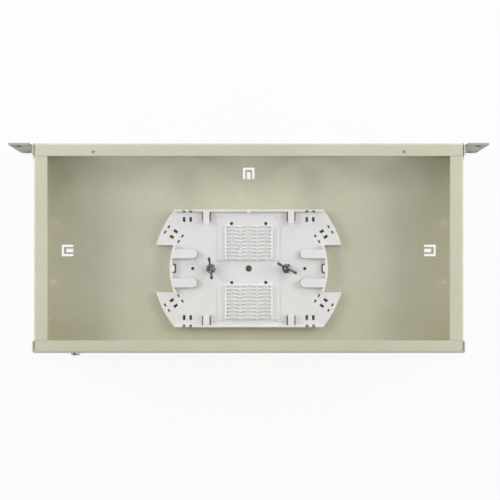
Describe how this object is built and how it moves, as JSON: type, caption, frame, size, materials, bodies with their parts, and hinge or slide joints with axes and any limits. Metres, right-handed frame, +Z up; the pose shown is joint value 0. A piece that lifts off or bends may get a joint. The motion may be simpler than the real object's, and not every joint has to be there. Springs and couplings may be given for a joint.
{
  "type": "fibre distribution box",
  "caption": "Rack-mount folded steel fibre distribution box without its cover, with a moulded splice tray clamped to the floor by wing nuts.",
  "frame": {"origin": "middle of the box's underside, half way between its front and rear walls", "axes": "+X to the right of someone facing the front, -Y out of the front wall, +Z up out of the open top"},
  "size_m": [0.4826, 0.2152, 0.0436],
  "materials": {
    "powder_coat": "matt powder coat",
    "bare_steel": "bare plated sheet",
    "zinc_plate": "bright zinc plate",
    "tray_plastic": "smooth moulded",
    "holder_plastic": "smooth moulded"
  },
  "bodies": {
    "box": {"base_pan": "powder_coat", "front_panel": "powder_coat", "rear_panel": "powder_coat", "rack_ear_left": "bare_steel", "rack_ear_right": "bare_steel", "ear_screw_left_lower": "zinc_plate", "ear_nut_left_lower": "zinc_plate", "ear_screw_left_upper": "zinc_plate", "ear_nut_left_upper": "zinc_plate", "ear_screw_right_lower": "zinc_plate", "ear_nut_right_lower": "zinc_plate", "ear_screw_right_upper": "zinc_plate", "ear_nut_right_upper": "zinc_plate", "ground_screw": "zinc_plate", "ground_washer": "zinc_plate", "ground_nut": "zinc_plate", "tray_stud_left": "zinc_plate", "tray_stud_right": "zinc_plate", "splice_tray": "tray_plastic", "splice_holder_front": "holder_plastic", "splice_holder_rear": "holder_plastic"},
    "left_washer": {"tray_washer_left": "zinc_plate"},
    "left_wing_nut": {"wing_nut_left": "zinc_plate"},
    "right_washer": {"tray_washer_right": "zinc_plate"},
    "right_wing_nut": {"wing_nut_right": "zinc_plate"}
  },
  "joints": [
    {"name": "left_nut_lift", "type": "slide", "parent": "box", "child": "left_washer", "axis": [0, 0, 1], "range_m": [0, 0.0056]},
    {"name": "left_nut_turn", "type": "hinge", "parent": "left_washer", "child": "left_wing_nut", "pos_m": [-0.04, 0.0194, 0.0081], "axis": [0, 0, 1], "range_deg": [0, 2880]},
    {"name": "right_nut_lift", "type": "slide", "parent": "box", "child": "right_washer", "axis": [0, 0, 1], "range_m": [0, 0.0056]},
    {"name": "right_nut_turn", "type": "hinge", "parent": "right_washer", "child": "right_wing_nut", "pos_m": [0.04, 0.0194, 0.0081], "axis": [0, 0, 1], "range_deg": [0, 2880]}
  ],
  "couplings": [
    {"joint": "left_nut_turn", "follows": "left_nut_lift", "rad_per_m": 8976},
    {"joint": "right_nut_turn", "follows": "right_nut_lift", "rad_per_m": 8976}
  ]
}
